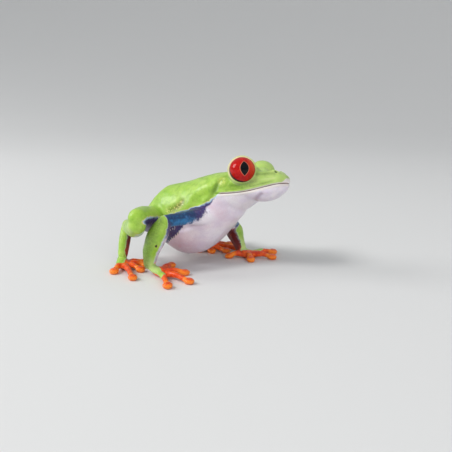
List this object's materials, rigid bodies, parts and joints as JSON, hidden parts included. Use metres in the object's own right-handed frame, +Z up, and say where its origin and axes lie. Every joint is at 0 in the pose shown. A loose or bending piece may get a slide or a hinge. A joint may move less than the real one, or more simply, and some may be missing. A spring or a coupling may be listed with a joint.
{
  "type": "red-eyed tree frog",
  "caption": "Still, life-size model of a red-eyed tree frog sitting up on its hands and feet, head raised, with bulging red eyes, folded hind legs and round toe pads.",
  "frame": {"origin": "centre of the bounding box, on the floor that the hands and feet rest on", "axes": "+X towards the snout, +Y towards the frog's left, +Z up"},
  "size_m": [0.0598, 0.0622, 0.0404],
  "materials": {
    "green_skin": "smooth, moist, very finely granular",
    "pale_skin": "soft, finely granular, slightly moist",
    "orange_skin": "smooth and moist",
    "iris_red": "wet gloss under a clear cornea"
  },
  "bodies": {
    "root": {"head": "green_skin", "lower_jaw": "pale_skin", "eye_right": "iris_red", "eye_left": "iris_red", "torso": "green_skin", "upper_arm_right": "green_skin", "upper_arm_left": "green_skin", "forearm_right": "green_skin", "forearm_left": "green_skin", "hand_right": "orange_skin", "hand_left": "orange_skin", "thigh_right": "green_skin", "thigh_left": "green_skin", "shank_right": "green_skin", "shank_left": "green_skin", "tarsus_right": "green_skin", "tarsus_left": "green_skin", "foot_right": "orange_skin", "foot_left": "orange_skin"}
  },
  "joints": []
}
